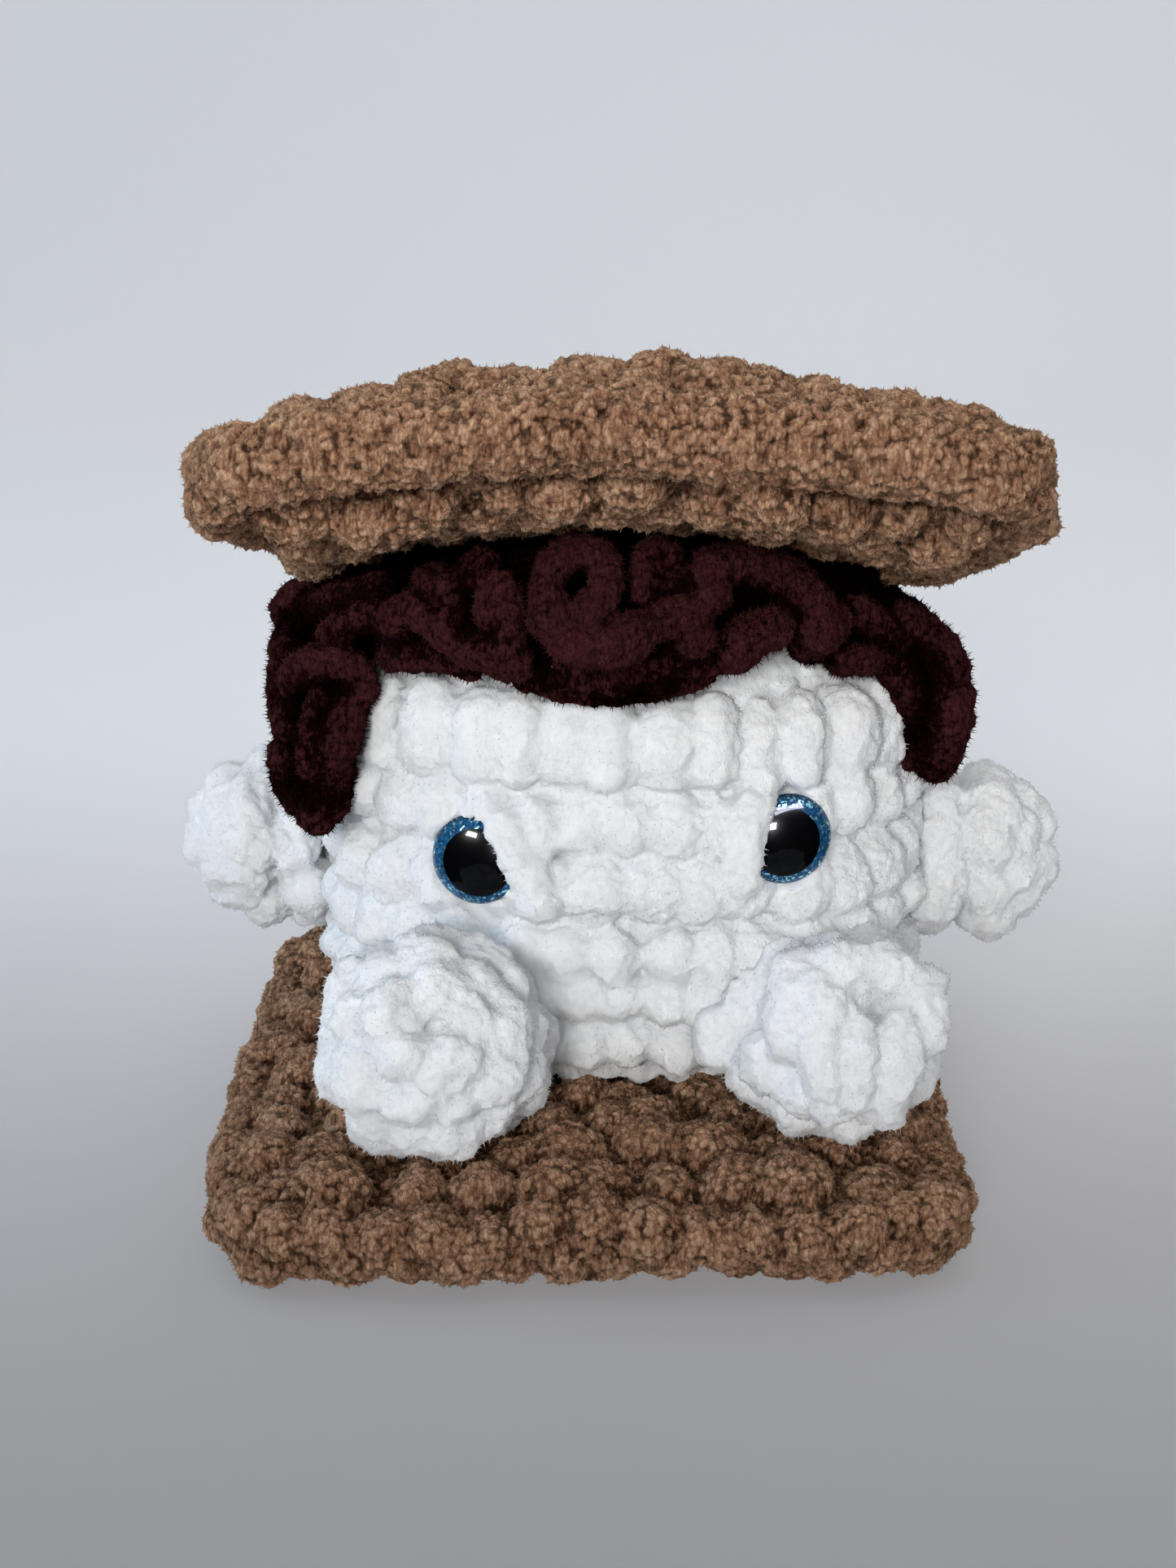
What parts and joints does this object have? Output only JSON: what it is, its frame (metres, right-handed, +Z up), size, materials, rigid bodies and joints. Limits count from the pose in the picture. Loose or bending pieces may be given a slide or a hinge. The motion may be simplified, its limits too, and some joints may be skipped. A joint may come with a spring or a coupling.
{
  "type": "crocheted s'more plush toy",
  "caption": "Crocheted plush s'more: a marshmallow figure with arms, legs and domed eyes sits on a square cracker pad, with a dripping chocolate cap and a tipped cracker pad on its head.",
  "frame": {"origin": "middle of the bottom cracker pad's flat underside", "axes": "+Z up, the face and legs point to -Y, +X is to the right as seen from the front"},
  "size_m": [0.2245, 0.1837, 0.205],
  "materials": {
    "cracker_yarn": "brushed chenille yarn, tan brown",
    "marshmallow_yarn": "brushed chenille yarn, white",
    "chocolate_yarn": "deep-pile chenille yarn, dark maroon brown",
    "eye_plastic": "clear dome over a black pupil and a blue glitter ring"
  },
  "bodies": {
    "root": {"cracker_bottom": "cracker_yarn", "cracker_top": "cracker_yarn", "marshmallow_body": "marshmallow_yarn", "leg_left": "marshmallow_yarn", "leg_right": "marshmallow_yarn", "arm_left": "marshmallow_yarn", "arm_right": "marshmallow_yarn", "chocolate_top": "chocolate_yarn", "eye_left": "eye_plastic", "eye_right": "eye_plastic"}
  },
  "joints": []
}
